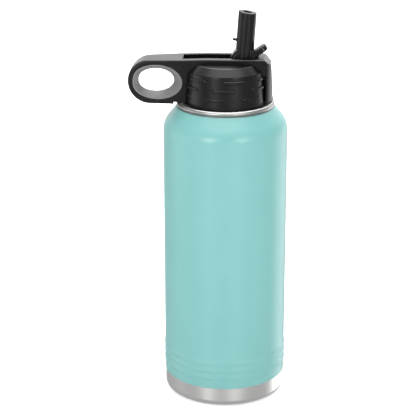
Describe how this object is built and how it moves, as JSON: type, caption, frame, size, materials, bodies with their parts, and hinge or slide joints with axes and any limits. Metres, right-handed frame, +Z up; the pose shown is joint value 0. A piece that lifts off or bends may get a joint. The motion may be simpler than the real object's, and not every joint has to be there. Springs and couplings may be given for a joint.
{
  "type": "insulated water bottle",
  "caption": "Double-wall steel bottle with a coated body, bare base band, screw-on cap, finger loop and a flip-up drinking spout on a straw.",
  "frame": {"origin": "centre of the face the bottle stands on, on the bottle's axis", "axes": "+Z up along the bottle's axis, the finger loop points to -X, the spout's hinge axis runs along Y"},
  "size_m": [0.1178, 0.093, 0.2949],
  "materials": {
    "steel": "satin brushed stainless steel",
    "teal_coat": "fine satin powder coat",
    "black_plastic": "satin moulded polypropylene",
    "silicone": "matt silicone",
    "straw_plastic": "clear satin polypropylene",
    "foil": "thin copper-toned foil",
    "getter_metal": "dull sintered metal"
  },
  "bodies": {
    "bottle": {"outer_shell": "steel", "powder_coat": "teal_coat", "inner_liner": "steel", "radiation_foil": "foil", "base_cup": "steel", "vacuum_seal": "steel", "getter": "getter_metal", "base_disc": "steel"},
    "gasket": {"cap_gasket": "silicone"},
    "cap": {"grip_cap": "black_plastic", "cap_thread_sleeve": "black_plastic", "carry_strap": "black_plastic", "loop_liner": "black_plastic", "spout_seal": "silicone", "straw_socket": "black_plastic", "straw": "straw_plastic", "vent_valve": "silicone"},
    "spout": {"flip_spout": "black_plastic"}
  },
  "joints": [
    {"name": "cap_rise", "type": "slide", "parent": "bottle", "child": "gasket", "axis": [0, 0, 1], "range_m": [0, 0.0063]},
    {"name": "cap_turn", "type": "hinge", "parent": "gasket", "child": "cap", "pos_m": [0, 0, 0], "axis": [0, 0, 1], "range_deg": [0, 450]},
    {"name": "spout_flip", "type": "hinge", "parent": "cap", "child": "spout", "pos_m": [0.0134, 0, 0.25807], "axis": [0, 1, 0], "range_deg": [-93.75, 0]}
  ],
  "couplings": [
    {"joint": "cap_rise", "follows": "cap_turn", "m_per_rad": 0.00079577}
  ]
}
